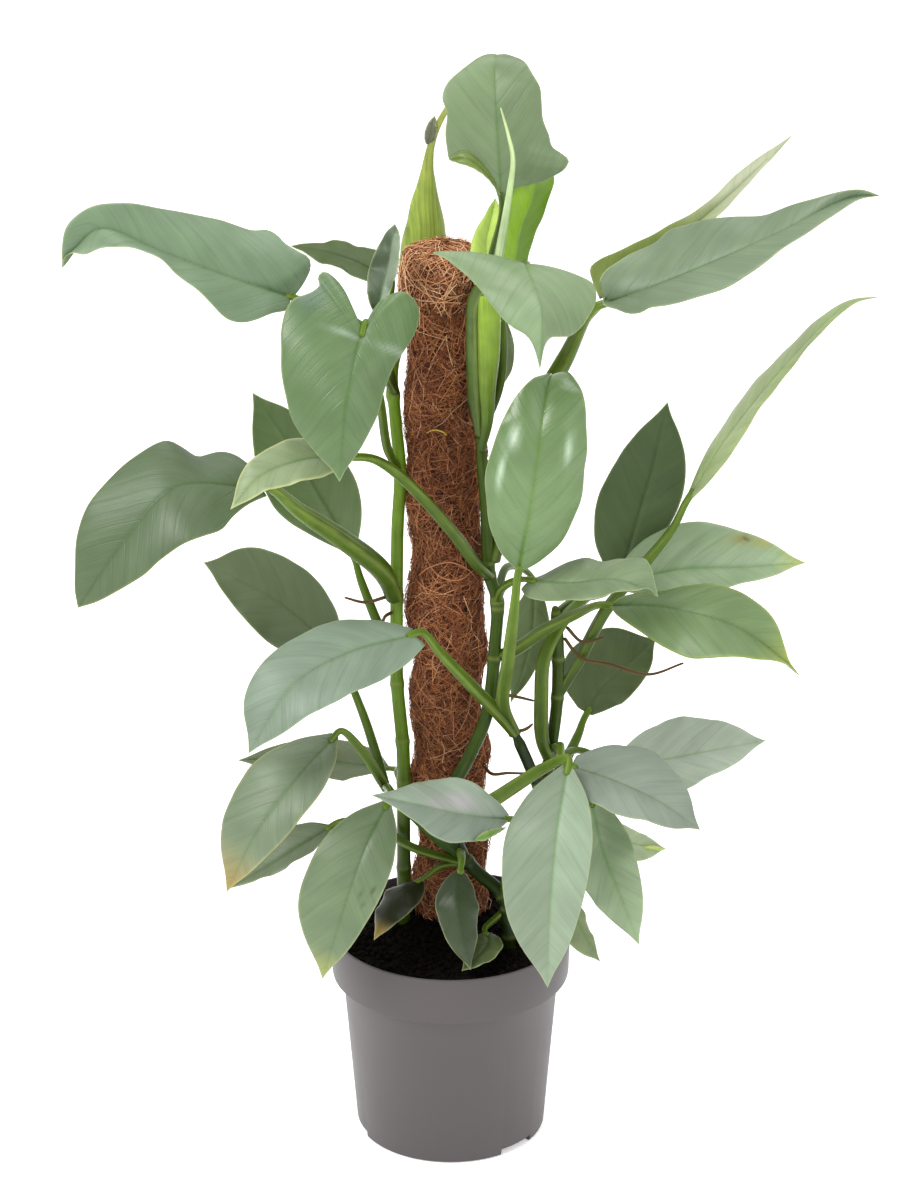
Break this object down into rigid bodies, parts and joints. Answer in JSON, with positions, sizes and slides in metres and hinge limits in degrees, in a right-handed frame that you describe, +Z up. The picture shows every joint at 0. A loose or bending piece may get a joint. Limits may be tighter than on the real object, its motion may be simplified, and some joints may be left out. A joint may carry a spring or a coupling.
{
  "type": "potted philodendron on a coir pole",
  "caption": "Silver-leaved climbing philodendron on a coir-wrapped pole in a tapered round nursery pot with soil.",
  "frame": {"origin": "centre of the pot's underside, on the surface that the pot stands on", "axes": "+Z up along the pot and pole, -Y towards the pictured front, +X to the viewer's right"},
  "size_m": [0.5393, 0.2407, 0.779],
  "materials": {
    "pot_plastic": "satin taupe grey polypropylene",
    "potting_soil": "loose dark peat and bark crumbs",
    "coir": "rough matted coconut fibre",
    "stick_wood": "bare wood, hidden",
    "stem": "smooth fleshy green, slight gloss",
    "young_leaf": "smooth bright yellow green",
    "leaf_blade": "leathery silvery green with a soft sheen",
    "aerial_root": "dry brown"
  },
  "bodies": {
    "root": {"pot": "pot_plastic", "soil": "potting_soil", "coir_wrap": "coir", "pole_stick": "stick_wood", "stem_left": "stem", "stem_right": "stem", "stem_centre": "stem", "stem_side": "stem", "leaf_crown": "leaf_blade", "leaf_centre_top": "leaf_blade", "leaf_dark_back": "leaf_blade", "leaf_right_long": "leaf_blade", "leaf_right_behind": "leaf_blade", "leaf_glossy": "leaf_blade", "leaf_curled_pale": "leaf_blade", "leaf_narrow_front": "leaf_blade", "leaf_grey_back": "leaf_blade", "leaf_heart": "leaf_blade", "leaf_olive": "leaf_blade", "leaf_left_long": "leaf_blade", "leaf_large_left": "leaf_blade", "leaf_dark_left": "leaf_blade", "leaf_edge_on_low": "leaf_blade", "leaf_olive_left": "leaf_blade", "leaf_front_left": "leaf_blade", "leaf_low_left": "leaf_blade", "leaf_low_left_behind": "leaf_blade", "leaf_front_foot": "leaf_blade", "leaf_low_small": "leaf_blade", "leaf_front_tilted": "leaf_blade", "leaf_foot_centre": "leaf_blade", "leaf_foot_small": "leaf_blade", "leaf_front_large": "leaf_blade", "leaf_side_upper": "leaf_blade", "leaf_side_far": "leaf_blade", "leaf_side_low": "leaf_blade", "leaf_side_behind": "leaf_blade", "leaf_side_foot": "leaf_blade", "leaf_right_lower": "leaf_blade", "leaf_right_middle": "leaf_blade", "leaf_dark_upright": "leaf_blade", "leaf_edge_on_high": "leaf_blade", "leaf_dark_right": "leaf_blade", "sheath_wide": "young_leaf", "sheath_narrow": "young_leaf", "leaf_rolled_young": "young_leaf", "leaf_new_spear": "young_leaf", "aerial_root_1": "aerial_root", "aerial_root_2": "aerial_root", "aerial_root_3": "aerial_root", "aerial_root_4": "aerial_root", "aerial_root_5": "aerial_root", "aerial_root_6": "aerial_root", "aerial_root_7": "aerial_root"}
  },
  "joints": []
}
